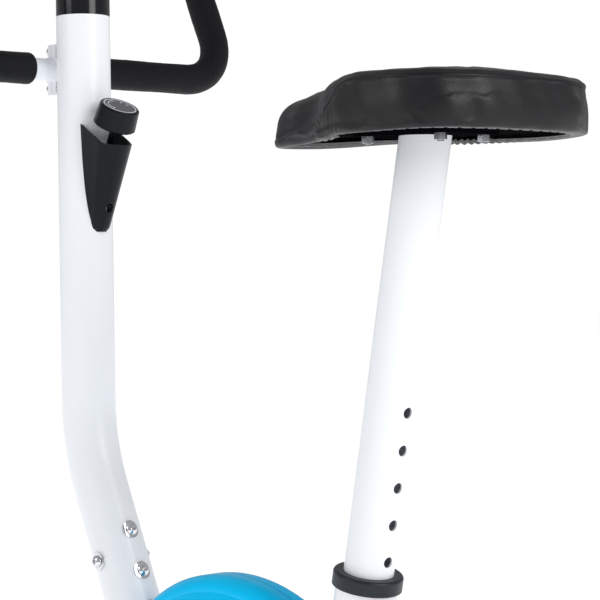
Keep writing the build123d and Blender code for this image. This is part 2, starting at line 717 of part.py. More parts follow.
DROP = radians(ARM_LEAN)
PEDAL_X = CRANK_ARM * sin(DROP)
PEDAL_Z = CRANK_ARM * cos(DROP)
with BuildPart() as pedal_spindles:
    for sign in (1, -1):
        at = (CRANK_X + sign * PEDAL_X, sign * 53, CRANK_Z - sign * PEDAL_Z)
        with BuildSketch(Plane(origin=at, x_dir=(1, 0, 0), z_dir=(0, sign, 0))):
            Circle(6)
        extrude(amount=109)
        collar = (at[0], sign * 67, at[2])
        with BuildSketch(Plane(origin=collar, x_dir=(1, 0, 0), z_dir=(0, sign, 0))):
            RegularPolygon(9, 6)
        extrude(amount=4)
save(pedal_spindles, "pedal_spindles")


def pedal(sign):
    """Moulded pedal body: two treads joined by end walls round the spindle barrel."""
    x, z = CRANK_X + sign * PEDAL_X, CRANK_Z - sign * PEDAL_Z
    y0, y1 = 73, 163
    mid = sign * (y0 + y1) / 2
    base = Plane(origin=(x, mid, z - 12), x_dir=(1, 0, 0), z_dir=(0, 0, 1))
    with BuildPart() as body:
        with BuildSketch(base):
            RectangleRounded(84, y1 - y0, 12)
            with Locations((-23, 0), (23, 0)):
                RectangleRounded(22, y1 - y0 - 22, 5, mode=Mode.SUBTRACT)
        extrude(amount=24)
        fillet(body.faces().sort_by(Axis.Z)[-1].edges().filter_by(GeomType.LINE, reverse=False), 1.2)
        with BuildSketch(Plane(origin=(x, sign * y0, z), x_dir=(1, 0, 0), z_dir=(0, sign, 0))):
            Circle(6 + FIT)
        extrude(amount=y1 - y0, mode=Mode.SUBTRACT)
        # slots in the two treads for the strap
        with BuildSketch(Plane(origin=(x, mid, z - 12), x_dir=(1, 0, 0), z_dir=(0, 0, 1))):
            for dx in (-38, 38):
                with Locations((dx, 0)):
                    Rectangle(3.4, 28, mode=Mode.ADD)
        extrude(amount=24, mode=Mode.SUBTRACT)
    return body


pedal_left = pedal(1)
save(pedal_left, "pedal_left")
pedal_right = pedal(-1)
save(pedal_right, "pedal_right")


def strap(sign):
    """Moulded strap over the foot, both ends held in the pedal's slots."""
    x, z = CRANK_X + sign * PEDAL_X, CRANK_Z - sign * PEDAL_Z
    mid = sign * 118
    with BuildPart() as band:
        with BuildSketch(Plane(origin=(x, mid + 12, 0), x_dir=(1, 0, 0), z_dir=(0, -1, 0))):
            with BuildLine() as line:
                Polyline((-38, z - 9), (-38, z + 13))
                ThreePointArc((-38, z + 13), (0, z + 62), (38, z + 13))
                Line((38, z + 13), (38, z - 9))
                offset(amount=1.4, side=Side.BOTH, kind=Kind.ARC)
            make_face()
        extrude(amount=24)
    return band


strap_left = strap(1)
save(strap_left, "strap_left")
strap_right = strap(-1)
save(strap_right, "strap_right")

# ---- drive belt and brake -----------------------------------------------------------------


def belt_face(r1, r2):
    """Convex hull of two circles, drawn with tangent lines."""
    a = Vector(-CRANK_X, CRANK_Z)
    b = Vector(-WHEEL_X, WHEEL_Z)
    span = (b - a).length
    heading = atan2((b - a).Y, (b - a).X)
    swing = radians(90) - atan2(r1 - r2, sqrt(span ** 2 - (r1 - r2) ** 2))
    ends = []
    for turn in (swing, -swing):
        n = Vector(cos(heading + turn), sin(heading + turn))
        ends.append((a + n * r1, b + n * r2))
    back = a - Vector(cos(heading), sin(heading)) * r1
    front = b + Vector(cos(heading), sin(heading)) * r2
    with BuildSketch(mode=Mode.PRIVATE) as face:
        with BuildLine():
            Line(ends[0][0], ends[0][1])
            ThreePointArc(ends[0][1], front, ends[1][1])
            Line(ends[1][1], ends[1][0])
            ThreePointArc(ends[1][0], back, ends[0][0])
        make_face()
    return face.sketch


with BuildPart() as drive_belt:
    with BuildSketch(side(BELT_Y - BELT_W / 2)):
        add(belt_face(PULLEY_R + GAP + 1.8, SMALL_R + GAP + 1.8))
        add(belt_face(PULLEY_R + GAP, SMALL_R + GAP), mode=Mode.SUBTRACT)
    extrude(amount=BELT_W)
save(drive_belt, "drive_belt")


def flat(point):
    """A point of the middle plane as sketch coordinates of side()."""
    return (-point.X, point.Z)


def strip(a, b, width):
    """Straight bar between two points of the middle plane, as sketch corners."""
    run = (b - a).normalized()
    out = Vector(-run.Z, 0, run.X) * (width / 2)
    return [flat(a + out), flat(b + out), flat(b - out), flat(a - out), flat(a + out)]


TAIL = TOUCH - PULL * 25
FIXED = HUB + Vector(cos(ANCHOR_TURN), 0, sin(ANCHOR_TURN)) * (BAND_R + BAND_T / 2)
with BuildPart() as brake_band:
    with BuildSketch(side(-8)):
        with Locations(flat(HUB)):
            Circle(BAND_R + BAND_T)
            Circle(BAND_R, mode=Mode.SUBTRACT)
        with BuildLine():
            Polyline(flat(HUB), flat(HUB + (FIXED - HUB) * 2), flat(HUB + Vector(300, 0, 0)),
                     flat(HUB + (TOUCH - HUB) * 2), flat(HUB))
        make_face(mode=Mode.SUBTRACT)
        with BuildLine():
            Polyline(*strip(TOUCH, TAIL, BAND_T))
        make_face()
        with BuildLine():
            Polyline(*strip(FIXED, ANCHOR, BAND_T))
        make_face()
        with Locations(flat(ANCHOR)):
            Circle(6.5)
            Circle(4, mode=Mode.SUBTRACT)
    extrude(amount=18)
    with BuildSketch(Plane(origin=TAIL + Vector(0, CABLE_Y, 0), x_dir=(0, 1, 0), z_dir=-PULL)):
        Circle(2.6)
    extrude(amount=4)
save(brake_band, "brake_band")

SPRING_TOP = EXIT + PULL * 27 + Vector(0, CABLE_Y, 0)
SPRING_L = (TAIL - PULL * 4 - EXIT - PULL * 27).length
with BuildPart() as brake_spring:
    with BuildLine() as coil:
        Helix(pitch=2.4, height=SPRING_L - 2, radius=3.4, center=SPRING_TOP + PULL, direction=PULL)
    with BuildSketch(Plane(origin=coil.line @ 0, z_dir=coil.line % 0)):
        Circle(0.7)
    sweep(path=coil.wires()[0], is_frenet=True)
save(brake_spring, "brake_spring")

# ---- tension control -------------------------------------------------------------------
def post_x(z):
    return BEND_X + (z - BEND_Z) * tan(radians(UPPER_LEAN))


def scoop_face(z, half, nose, reach):
    """Section of the housing: flat sides on the post running to a round nose behind it."""
    xp = post_x(z)
    xc = xp - reach + nose
    with BuildSketch(Plane.XY.offset(z)) as face:
        with BuildLine():
            Polyline((xc, nose), (xp - 8, half), (xp - 8, -half), (xc, -nose))
            ThreePointArc((xc, -nose), (xc - nose, 0), (xc, nose))
        make_face()
    return face.sketch


RIM_LOW = 856.5
with BuildPart() as housing_core:
    loft([scoop_face(HOUSE_T0 + 6, 17, 9.9, 36.5), scoop_face(HOUSE_T1 + 6, 17.7, 22.1, 85.9)])

with BuildPart() as housing_foot:
    loft([scoop_face(HOUSE_T0 - 4, 13, 7.5, 33), scoop_face(HOUSE_T0, 18, 11, 36.5),
          scoop_face(HOUSE_T0 + 6, 19.5, 12.4, 39)], ruled=True)

with BuildPart() as tension_housing:
    loft([scoop_face(HOUSE_T0 + 6, 19.5, 12.4, 39), scoop_face(HOUSE_T1 + 5, 20, 24.6, 88)])
    add(housing_foot.part)
    add(housing_core.part, mode=Mode.SUBTRACT)
    # boss for the screw that holds it to the post
    with BuildSketch(Plane.YZ.offset(post_x(HOUSE_SCREW) - 43)):
        with Locations((0, HOUSE_SCREW)):
            Circle(7)
    extrude(amount=20)
    # rim: high at the post, sloping down under the knob, level round the nose
    with BuildSketch(side(-60)):
        with BuildLine():
            Polyline((-post_x(888) + 12, 905), (-post_x(888) + 12, HOUSE_T1), (-post_x(888) + 60, RIM_LOW + 2.5),
                     (-post_x(888) + 72, RIM_LOW), (-post_x(888) + 130, RIM_LOW - 1), (-post_x(888) + 130, 905),
                     (-post_x(888) + 12, 905))
        make_face()
    extrude(amount=120, mode=Mode.SUBTRACT)
    with BuildSketch(post_axis(180)):
        Circle(TUBE_R)
    extrude(amount=240, mode=Mode.SUBTRACT)
    with BuildSketch(Plane.YZ.offset(post_x(HOUSE_SCREW) - 60)):
        with Locations((0, HOUSE_SCREW)):
            Circle(4.8)
    extrude(amount=26, mode=Mode.SUBTRACT)
    with BuildSketch(Plane.YZ.offset(post_x(HOUSE_SCREW) - 60)):
        with Locations((0, HOUSE_SCREW)):
            Circle(2.2)
    extrude(amount=40, mode=Mode.SUBTRACT)
save(tension_housing, "tension_housing")

KNOB_X = SEAT_X + 403.0
KNOB_Z = 877.5


def knob_axis(t):
    return lean_plane(KNOB_X, KNOB_Z, -KNOB_LEAN, t)


with BuildPart() as tension_knob:
    with BuildSketch(Plane(origin=knob_axis(0).origin, x_dir=knob_axis(0).x_dir, z_dir=(0, -1, 0))):
        with BuildLine():
            Polyline((3, 0), (22, 0), (23.6, 1.6), (22.2, 23.6), (20.8, 25), (19.6, 25), (19.6, 24.2), (0, 24.2),
                     (0, 6), (3, 6), (3, 0))
        make_face()
    revolve(axis=Axis(knob_axis(0).origin, knob_axis(0).z_dir))
    with BuildSketch(knob_axis(2)):
        with PolarLocations(24.3, 40):
            Circle(1)
    extrude(amount=20, mode=Mode.SUBTRACT)
    # threaded stem moulded into the knob
    with BuildSketch(knob_axis(-44)):
        Circle(3)
    extrude(amount=50)
save(tension_knob, "tension_knob")

NUT_T = -38.0
with BuildPart() as tension_nut:
    with BuildSketch(knob_axis(NUT_T)):
        RectangleRounded(13, 20, 2)
        Circle(3 + FIT, mode=Mode.SUBTRACT)
    extrude(amount=9)
save(tension_nut, "tension_nut")

# cable: from the nut into the post, round the bend, out of the stub to the spring
down = -knob_axis(0).z_dir
BESIDE = Vector(0, CABLE_Y, 0)
CABLE_TOP = knob_axis(NUT_T - 0.4).origin
RUN = -12.0                      # the cable keeps this far behind the post's axis
ENTER = CABLE_TOP + down * ((BEND_X + RUN - CABLE_TOP.X) / down.X)
POST_TURN = Vector(BEND_X + RUN, 0, BEND_Z + 2)
ALONG = stub_axis(0).z_dir
GAPS = EXIT - POST_TURN
LEAVE = POST_TURN + ALONG * ((GAPS.X * PULL.Z - GAPS.Z * PULL.X) / (ALONG.X * PULL.Z - ALONG.Z * PULL.X))
CABLE_END = EXIT + PULL * 26
STOPS = [point + BESIDE for point in (CABLE_TOP, ENTER, POST_TURN, LEAVE, CABLE_END)]
with BuildPart() as tension_cable:
    with BuildLine() as route:
        FilletPolyline(*STOPS, radius=60)
    with BuildSketch(Plane(origin=STOPS[0], z_dir=down)):
        Circle(1.8)
    sweep(path=route.wires()[0])
save(tension_cable, "tension_cable")

# ---- handlebar with its clamp and grips ---------------------------------------------------
RISE = Vector(sin(radians(BAR_LEAN)), 0, cos(radians(BAR_LEAN)))
BAR_MID = Vector(BAR_X, 0, BAR_Z)


def bar_point(y, rise):
    return BAR_MID + Vector(0, y, 0) + RISE * rise


with BuildPart() as handlebar_tube:
    with BuildLine() as route:
        FilletPolyline(bar_point(BAR_HALF, BAR_BEND + BAR_RISE), bar_point(BAR_HALF, 0), bar_point(-BAR_HALF, 0),
                       bar_point(-BAR_HALF, BAR_BEND + BAR_RISE), radius=BAR_BEND)
    with BuildSketch(Plane(origin=bar_point(BAR_HALF, BAR_BEND + BAR_RISE), z_dir=-RISE)):
        Circle(BAR_D / 2)
        Circle(BAR_D / 2 - 1.8, mode=Mode.SUBTRACT)
    sweep(path=route.wires()[0])
save(handlebar_tube, "handlebar_tube")


def grip(sign):
    """Foam sleeve from beside the clamp to just over the end of the bar."""
    with BuildPart() as foam:
        with BuildLine() as line:
            FilletPolyline(bar_point(sign * 41, 0), bar_point(sign * BAR_HALF, 0),
                           bar_point(sign * BAR_HALF, BAR_BEND + BAR_RISE + 6), radius=BAR_BEND)
        with BuildSketch(Plane(origin=bar_point(sign * 41, 0), z_dir=(0, sign, 0))):
            Circle(GRIP_D / 2)
        sweep(path=line.wires()[0])
        fillet(foam.edges().filter_by(GeomType.CIRCLE).filter_by(lambda e: e.length < 120), 4)
        with BuildLine() as bore:
            FilletPolyline(bar_point(sign * 41, 0), bar_point(sign * BAR_HALF, 0),
                           bar_point(sign * BAR_HALF, BAR_BEND + BAR_RISE), radius=BAR_BEND)
        with BuildSketch(Plane(origin=bar_point(sign * 41, 0), z_dir=(0, sign, 0))):
            Circle(BAR_D / 2)
        sweep(path=bore.wires()[0], mode=Mode.SUBTRACT)
    return foam


grip_left = grip(1)
save(grip_left, "grip_left")
grip_right = grip(-1)
save(grip_right, "grip_right")

CLAMP_W = 28.0
CLAMP_BOLTS = [(y, z) for y in (-8.2, 8.2) for z in (BAR_Z - 21.2, BAR_Z + 21.2)]
with BuildPart() as clamp_base:
    with BuildSketch(side(-CLAMP_W / 2)):
        with Locations((-BAR_X + 4.6, BAR_Z)):
            RectangleRounded(8.4, 57, 1.5)
        with Locations((-BAR_X + 22, BAR_Z)):
            Rectangle(42, 26)
        with Locations((-BAR_X, BAR_Z)):
            Circle(BAR_D / 2 + FIT, mode=Mode.SUBTRACT)
        with Locations((-BAR_X - 20.4, BAR_Z)):
            Rectangle(41.6, 80, mode=Mode.SUBTRACT)
    extrude(amount=CLAMP_W)
    with BuildSketch(post_axis(300)):
        Circle(TUBE_R)
    extrude(amount=180, mode=Mode.SUBTRACT)
    with BuildSketch(Plane.YZ.offset(BAR_X - 60)):
        with Locations((0, BAR_Z)):
            Rectangle(100, 100)
    extrude(amount=BEND_X - BAR_X + 64, mode=Mode.SUBTRACT)
    with BuildSketch(Plane.YZ.offset(BAR_X - 12)):
        with Locations(*CLAMP_BOLTS):
            Circle(3.2)
    extrude(amount=20, mode=Mode.SUBTRACT)
save(clamp_base, "clamp_base")

with BuildPart() as clamp_cap:
    with BuildSketch(side(-CLAMP_W / 2)):
        with Locations((-BAR_X - 3.4, BAR_Z)):
            RectangleRounded(6, 57, 1.5)
        with Locations((-BAR_X, BAR_Z)):
            Circle(BAR_D / 2 + 4)
        with Locations((-BAR_X, BAR_Z)):
            Circle(BAR_D / 2 + FIT, mode=Mode.SUBTRACT)
        with Locations((-BAR_X + 24.6, BAR_Z)):
            Rectangle(50, 80, mode=Mode.SUBTRACT)
    extrude(amount=CLAMP_W)
    with BuildSketch(Plane.YZ.offset(BAR_X - 12)):
        with Locations(*CLAMP_BOLTS):
            Circle(3.2)
    extrude(amount=40, mode=Mode.SUBTRACT)
save(clamp_cap, "clamp_cap")

with BuildPart() as clamp_bolts:
    for y, z in CLAMP_BOLTS:
        with BuildSketch(Plane(origin=(BAR_X - 13.4, y, z), x_dir=(0, 1, 0), z_dir=(1, 0, 0))):
            Circle(3)
        extrude(amount=19.9)
        with BuildSketch(Plane(origin=(BAR_X - 13.1, y, z), x_dir=(0, 1, 0), z_dir=(1, 0, 0))):
            RegularPolygon(5.6, 6)
        extrude(amount=4.3)
        with BuildSketch(Plane(origin=(BAR_X + 6.4, y, z), x_dir=(0, 1, 0), z_dir=(1, 0, 0))):
            Circle(5.4)
        extrude(amount=3.6)
save(clamp_bolts, "clamp_bolts")

# ---- console ------------------------------------------------------------------------------
FACE_TILT = 42.0
SLEEVE_TOP = post_axis(POST_TOP + 40).origin
CONSOLE = Plane(origin=SLEEVE_TOP + Vector(-4, 0, 46), x_dir=(0, -1, 0),
                z_dir=(-cos(radians(FACE_TILT)), 0, sin(radians(FACE_TILT))))
with BuildPart() as console_back:
    with BuildSketch(CONSOLE.offset(-20)):
        RectangleRounded(118, 74, 14)
    extrude(amount=20)
    fillet(console_back.faces().sort_by(Axis(CONSOLE.origin, CONSOLE.z_dir))[0].edges(), 7)
    with BuildSketch(CONSOLE.offset(-16)):
        RectangleRounded(112, 68, 11)
    extrude(amount=16, mode=Mode.SUBTRACT)
    with BuildSketch(post_axis(POST_TOP + 18)):
        Circle(TUBE_IN - 3)
    extrude(amount=46)
    with BuildSketch(CONSOLE.offset(-15.9)):
        RectangleRounded(112, 68, 11)
    extrude(amount=60, mode=Mode.SUBTRACT)
    with BuildSketch(post_axis(POST_TOP + 40)):
        Circle(TUBE_R)
        Circle(TUBE_IN - 3, mode=Mode.SUBTRACT)
    extrude(amount=2)
    with BuildSketch(post_axis(POST_TOP + 10)):
        Circle(TUBE_IN - 6)
    extrude(amount=20, mode=Mode.SUBTRACT)
save(console_back, "console_back")

with BuildPart() as console_front:
    with BuildSketch(CONSOLE):
        RectangleRounded(118, 74, 14)
    extrude(amount=9)
    fillet(console_front.faces().sort_by(Axis(CONSOLE.origin, CONSOLE.z_dir))[-1].edges(), 4)
    with BuildSketch(CONSOLE):
        RectangleRounded(112, 68, 11)
    extrude(amount=6, mode=Mode.SUBTRACT)
    with BuildSketch(CONSOLE.offset(6)):
        with Locations((0, 9)):
            RectangleRounded(76, 36, 5)
        with Locations((0, -23)):
            Circle(8 + 0.3)
    extrude(amount=4, mode=Mode.SUBTRACT)
save(console_front, "console_front")

with BuildPart() as console_lens:
    with BuildSketch(CONSOLE.offset(6)):
        with Locations((0, 9)):
            RectangleRounded(76, 36, 5)
    extrude(amount=2)
    with BuildSketch(CONSOLE.offset(4.6)):
        with Locations((0, 9)):
            RectangleRounded(80, 40, 5)
    extrude(amount=1.4)
save(console_lens, "console_lens")

with BuildPart() as console_button:
    with BuildSketch(CONSOLE.offset(4)):
        with Locations((0, -23)):
            Circle(8)
    extrude(amount=7)
    fillet(console_button.faces().sort_by(Axis(CONSOLE.origin, CONSOLE.z_dir))[-1].edges(), 1.2)
save(console_button, "console_button")

# ---- chain cover -------------------------------------------------------------------------
BOSSES = [(362, 250), (150, 395), (84, 369), (105, 132), (200, 118)]
BOSS_HEAD = 19.0


def cover_openings():
    """Tubes, strut and axle that pass through both halves."""
    with BuildPart(mode=Mode.PRIVATE) as tool:
        with BuildSketch(seat_axis(-400)):
            Circle(TUBE_R + 0.5)
        extrude(amount=400)
        # the covers end at the seat tube
        with BuildSketch(seat_axis(-400)):
            with Locations((-60, 0)):
                Rectangle(120, 120)
        extrude(amount=400)
        with BuildSketch(stub_axis(LAP_T - 330)):
            Circle(TUBE_R + 0.5)
        extrude(amount=330)
        with BuildSketch(Plane.XY.offset(COVER_LOW - 5)):
            with Locations((CRANK_X, 9)):
                Rectangle(35, 31)
        extrude(amount=45)
        with BuildSketch(side(-60)):
            with Locations((-CRANK_X, CRANK_Z)):
                Circle(18)
        extrude(amount=120)
    return tool.part


def oval(inset):
    """Cover outline, drawn in by a distance."""
    return Ellipse(COVER_A - inset, COVER_B - inset)


def cover_half(sign):
    y_face = Plane(origin=(COVER_X, sign * 0.5, COVER_Z), x_dir=(1, 0, 0), z_dir=(0, sign, 0))
    with BuildPart() as shell:
        # rounded rim, then a sloping band up to the flat middle
        with BuildSketch(y_face):
            oval(0)
        extrude(amount=COVER_EDGE - 0.5)
        fillet(shell.faces().sort_by(Axis.Y)[-1 if sign > 0 else 0].edges(), COVER_RIM)
        with BuildSketch(y_face.offset(COVER_EDGE - 1)):
            oval(COVER_RIM + 0.6)
        with BuildSketch(y_face.offset(COVER_HALF - 0.5)):
            oval(COVER_DISH)
        loft()
        fillet(shell.faces().sort_by(Axis.Y)[-1 if sign > 0 else 0].edges(), 6)
        # hollow
        with BuildSketch(y_face):
            oval(COVER_WALL)
        extrude(amount=COVER_EDGE - 0.5 - COVER_RIM, mode=Mode.SUBTRACT)
        with BuildSketch(y_face.offset(COVER_EDGE - 0.5 - COVER_RIM)):
            oval(COVER_WALL)
        with BuildSketch(y_face.offset(COVER_EDGE - 0.5 - COVER_WALL)):
            oval(COVER_WALL + COVER_RIM - 4)
        loft(mode=Mode.SUBTRACT)
        with BuildSketch(y_face.offset(COVER_EDGE - 1.5 - COVER_WALL)):
            oval(COVER_WALL + COVER_RIM + 2)
        with BuildSketch(y_face.offset(COVER_HALF - 0.5 - COVER_WALL)):
            oval(COVER_WALL + COVER_DISH + 2)
        loft(mode=Mode.SUBTRACT)
        for dx, z in BOSSES:
            at = Plane(origin=(SEAT_X + dx, sign * 0.5, z), x_dir=(1, 0, 0), z_dir=(0, sign, 0))
            with BuildSketch(at):
                Circle(5.6)
            extrude(amount=COVER_EDGE - 2.2)
            with BuildSketch(at):
                Circle(1.9)
            extrude(amount=16 if sign > 0 else 60, mode=Mode.SUBTRACT)
            if sign < 0:
                with BuildSketch(at.offset(BOSS_HEAD - 0.5)):
                    Circle(4.2)
                extrude(amount=30, mode=Mode.SUBTRACT)
        add(cover_openings(), mode=Mode.SUBTRACT)
    return shell


cover_left = cover_half(1)
save(cover_left, "cover_left")
cover_right = cover_half(-1)
save(cover_right, "cover_right")

with BuildPart() as cover_screws:
    for dx, z in BOSSES:
        with BuildSketch(Plane(origin=(SEAT_X + dx, 14, z), x_dir=(1, 0, 0), z_dir=(0, -1, 0))):
            Circle(1.8)
        extrude(amount=14 + BOSS_HEAD)
        with BuildSketch(Plane(origin=(SEAT_X + dx, -BOSS_HEAD, z), x_dir=(1, 0, 0), z_dir=(0, -1, 0))):
            Circle(4)
        extrude(amount=2.6)
    # one more of the same screws holds the tension housing to the post
    at = Plane(origin=(post_x(HOUSE_SCREW) - 36.6, 0, HOUSE_SCREW), x_dir=(0, 1, 0), z_dir=(1, 0, 0))
    with BuildSketch(at):
        Circle(3.9)
    extrude(amount=2.6)
    with BuildSketch(at):
        Circle(1.8)
    extrude(amount=10.6)
    with BuildSketch(at.offset(-0.5)):
        Rectangle(5, 0.9)
        Rectangle(0.9, 5)
    extrude(amount=1.8, mode=Mode.SUBTRACT)
save(cover_screws, "cover_screws")
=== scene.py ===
import bmesh
import bpy
import json
import math
import numpy as np
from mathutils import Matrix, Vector


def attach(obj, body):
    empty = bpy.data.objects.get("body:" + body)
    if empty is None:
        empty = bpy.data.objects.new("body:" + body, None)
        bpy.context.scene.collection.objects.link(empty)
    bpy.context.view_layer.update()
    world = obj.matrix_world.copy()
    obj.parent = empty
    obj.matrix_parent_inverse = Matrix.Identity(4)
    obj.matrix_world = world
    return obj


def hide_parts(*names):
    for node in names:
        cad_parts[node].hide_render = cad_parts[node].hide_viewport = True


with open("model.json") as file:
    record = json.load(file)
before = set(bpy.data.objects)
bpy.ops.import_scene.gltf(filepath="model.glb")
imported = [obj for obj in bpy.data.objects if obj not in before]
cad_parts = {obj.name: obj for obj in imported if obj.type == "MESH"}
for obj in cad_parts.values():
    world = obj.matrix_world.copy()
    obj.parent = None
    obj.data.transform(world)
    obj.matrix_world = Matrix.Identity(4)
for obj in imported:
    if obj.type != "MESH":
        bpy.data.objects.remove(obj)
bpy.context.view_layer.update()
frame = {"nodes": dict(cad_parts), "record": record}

# ---- places in the frame, in metres ---------------------------------------
SX = -0.1758                       # x of the seat tube's mouth
POST_LEAN = math.radians(10.2)     # the seat post leans back
MOUTH_TO_BOARD = 0.4185            # height of the saddle board over the mouth
BOARD_Z = 0.8475
SEAT = Vector((SX - MOUTH_TO_BOARD * math.tan(POST_LEAN), 0, BOARD_Z))
BAR = Vector((SX + 0.504, 0, 0.9453))            # middle of the handlebar's straight part
BAR_LEAN = math.radians(26)                      # the rising ends lean forward


# ---- materials -----------------------------------------------------------------
def finish(name, colour, rough=0.4, metal=0.0, coat=0.0, tint=0.05, grain=400.0, bump=0.2,
           depth=0.0004, cells=False, wear=0.06, stretch=None, spec=0.5, sheen=0.0, blotch=9.0):
    """A procedural surface: soft colour drift, uneven gloss and a fine relief."""
    m = bpy.data.materials.new(name)
    m.use_nodes = True
    nodes, links = m.node_tree.nodes, m.node_tree.links
    shader = nodes["Principled BSDF"]
    shader.inputs["Metallic"].default_value = metal
    shader.inputs["Coat Weight"].default_value = coat
    shader.inputs["Coat Roughness"].default_value = 0.08
    shader.inputs["Specular IOR Level"].default_value = spec
    shader.inputs["Sheen Weight"].default_value = sheen
    place = nodes.new("ShaderNodeTexCoord")
    source = place.outputs["Object"]
    if stretch:
        mapping = nodes.new("ShaderNodeMapping")
        mapping.inputs["Scale"].default_value = stretch
        links.new(source, mapping.inputs["Vector"])
        fine_source = mapping.outputs["Vector"]
    else:
        fine_source = source
    drift = nodes.new("ShaderNodeTexNoise")
    drift.inputs["Scale"].default_value = blotch
    drift.inputs["Detail"].default_value = 5
    links.new(source, drift.inputs["Vector"])
    ramp = nodes.new("ShaderNodeValToRGB")
    ramp.color_ramp.elements[0].position = 0.3
    ramp.color_ramp.elements[1].position = 0.7
    ramp.color_ramp.elements[0].color = [c * (1 - tint) for c in colour] + [1]
    ramp.color_ramp.elements[1].color = [min(1, c * (1 + tint)) for c in colour] + [1]
    links.new(drift.outputs["Fac"], ramp.inputs["Fac"])
    links.new(ramp.outputs["Color"], shader.inputs["Base Color"])
    gloss = nodes.new("ShaderNodeTexNoise")
    gloss.inputs["Scale"].default_value = grain * 0.12
    gloss.inputs["Detail"].default_value = 6
    links.new(fine_source, gloss.inputs["Vector"])
    span = nodes.new("ShaderNodeMapRange")
    span.inputs["To Min"].default_value = max(0.02, rough - wear)
    span.inputs["To Max"].default_value = min(1.0, rough + wear)
    links.new(gloss.outputs["Fac"], span.inputs["Value"])
    links.new(span.outputs["Result"], shader.inputs["Roughness"])
    if cells:
        relief = nodes.new("ShaderNodeTexVoronoi")
        relief.feature = "DISTANCE_TO_EDGE"
        relief.inputs["Scale"].default_value = grain
        height = relief.outputs["Distance"]
    else:
        relief = nodes.new("ShaderNodeTexNoise")
        relief.inputs["Scale"].default_value = grain
        relief.inputs["Detail"].default_value = 4
        height = relief.outputs["Fac"]
    links.new(fine_source, relief.inputs["Vector"])
    emboss = nodes.new("ShaderNodeBump")
    emboss.inputs["Strength"].default_value = bump
    emboss.inputs["Distance"].default_value = depth
    links.new(height, emboss.inputs["Height"])
    links.new(emboss.outputs["Normal"], shader.inputs["Normal"])
    return m


FINISHES = {
    "white_paint": dict(colour=(0.89, 0.915, 0.955), rough=0.36, coat=0.15, tint=0.008, grain=420,
                        bump=0.03, depth=0.0001, wear=0.015),
    "frame_black": dict(colour=(0.003, 0.0035, 0.006), rough=0.16, spec=0.3, coat=0.2, grain=900,
                        bump=0.06, depth=0.0002, wear=0.04),
    "cover_blue": dict(colour=(0.0, 0.56, 1.0), rough=0.24, coat=0.06, spec=0.08, tint=0.03,
                       grain=1200, bump=0.05, depth=0.0002, wear=0.04),
    # the far (right) shell half: a slightly darker copy of cover_blue, painted shade
    "cover_blue_right": dict(colour=(0.0, 0.55, 0.99), rough=0.26, coat=0.06, spec=0.08,
                             tint=0.03, grain=1150, bump=0.05, depth=0.0002, wear=0.04),
    "black_plastic": dict(colour=(0.0012, 0.0028, 0.006), rough=0.30, spec=0.2, tint=0.15,
                          grain=2600, bump=0.25, depth=0.0002, wear=0.06),
    "slate_plastic": dict(colour=(0.010, 0.015, 0.022), rough=0.38, spec=0.35, tint=0.12,
                          grain=2200, bump=0.2, depth=0.0002),
    "rubber": dict(colour=(0.014, 0.014, 0.015), rough=0.62, tint=0.2, grain=1800, bump=0.35,
                   depth=0.0003),
    "foam": dict(colour=(0.0026, 0.0030, 0.0050), rough=0.56, tint=0.3, grain=1700, bump=0.55,
                 depth=0.0005, cells=True, wear=0.1, spec=0.18),
    "leatherette": dict(colour=(0.0062, 0.0060, 0.0078), rough=0.40, tint=0.16, grain=620,
                        bump=0.34, depth=0.0005, cells=True, wear=0.09, spec=0.34, blotch=14),
    "zinc": dict(colour=(0.62, 0.64, 0.68), rough=0.22, metal=1.0, tint=0.06, grain=700, bump=0.1,
                 depth=0.0002),
    "chrome": dict(colour=(0.74, 0.75, 0.78), rough=0.11, metal=1.0, tint=0.03, grain=500,
                   bump=0.04, depth=0.0001, wear=0.03),
    "iron": dict(colour=(0.10, 0.10, 0.11), rough=0.45, metal=0.8, tint=0.15, grain=500, bump=0.4,
                 depth=0.0004),
    "belt": dict(colour=(0.015, 0.015, 0.016), rough=0.55, tint=0.2, grain=1500, bump=0.4,
                 depth=0.0003),
    "felt": dict(colour=(0.30, 0.28, 0.25), rough=0.9, tint=0.25, grain=2200, bump=0.8,
                 depth=0.0006, sheen=0.4),
    "board": dict(colour=(0.006, 0.006, 0.006), rough=0.9, spec=0.0, tint=0.25, grain=300,
                  bump=0.3, depth=0.0004, stretch=(1, 12, 1)),
    "lens": dict(colour=(0.20, 0.235, 0.205), rough=0.12, tint=0.05, grain=900, bump=0.03,
                 depth=0.0001, wear=0.03),
    "button": dict(colour=(0.45, 0.03, 0.03), rough=0.5, tint=0.08, grain=1800, bump=0.2,
                   depth=0.0002),
    "steel": dict(colour=(0.50, 0.51, 0.53), rough=0.3, metal=1.0, tint=0.08, grain=500,
                  bump=0.15, depth=0.0002, stretch=(1, 6, 1)),
    "grey_plastic": dict(colour=(0.10, 0.10, 0.105), rough=0.42, tint=0.1, grain=2000, bump=0.2,
                         depth=0.0002),
}
LOOKS = {name: finish(name, **values) for name, values in FINISHES.items()}
DIAL = finish("dial_grey", (0.105, 0.10, 0.112), 0.42, tint=0.1, grain=1800, bump=0.15,
              depth=0.0001)
MARKS = finish("dial_marks", (0.66, 0.70, 0.76), 0.38, tint=0.05, grain=1500, bump=0.1,
               depth=0.0001)
PANEL = finish("leatherette_top", (0.0045, 0.0050, 0.0070), 0.38, tint=0.16, grain=640, bump=0.3,
               depth=0.0005, cells=True, wear=0.08, blotch=14, spec=0.25)
BRACKET = finish("bracket_black", (0.004, 0.004, 0.005), 0.6, spec=0.0, tint=0.15, grain=900,
                 bump=0.2, depth=0.0002)
INK = finish("display_ink", (0.02, 0.024, 0.022), 0.3, tint=0.1, grain=1500, bump=0.05,
             depth=0.0001)

